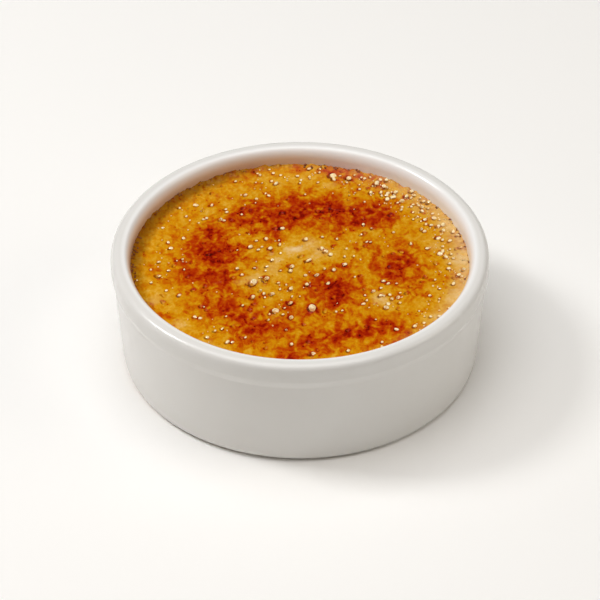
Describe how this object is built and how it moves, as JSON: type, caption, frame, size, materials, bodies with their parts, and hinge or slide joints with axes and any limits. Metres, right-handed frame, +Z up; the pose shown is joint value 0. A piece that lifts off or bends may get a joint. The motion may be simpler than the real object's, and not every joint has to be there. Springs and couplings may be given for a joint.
{
  "type": "creme brulee in a ramekin",
  "caption": "Baked custard with a torched, bubbly caramel top, in the shallow round porcelain ramekin it is served in; the free space above it is open.",
  "frame": {"origin": "centre of the ramekin's foot ring, in the plane of the table", "axes": "+Z up out of the dish; the dish is round, and -Y is the side that the picture shows at the front"},
  "size_m": [0.12, 0.12, 0.04],
  "materials": {
    "glazed_porcelain": "clear gloss glaze over off-white porcelain, unglazed foot ring",
    "torched_caramel": "hard glossy caramel crust over baked custard, scorched in patches, full of bubbles"
  },
  "bodies": {
    "root": {"ramekin": "glazed_porcelain", "custard": "torched_caramel"}
  },
  "joints": []
}
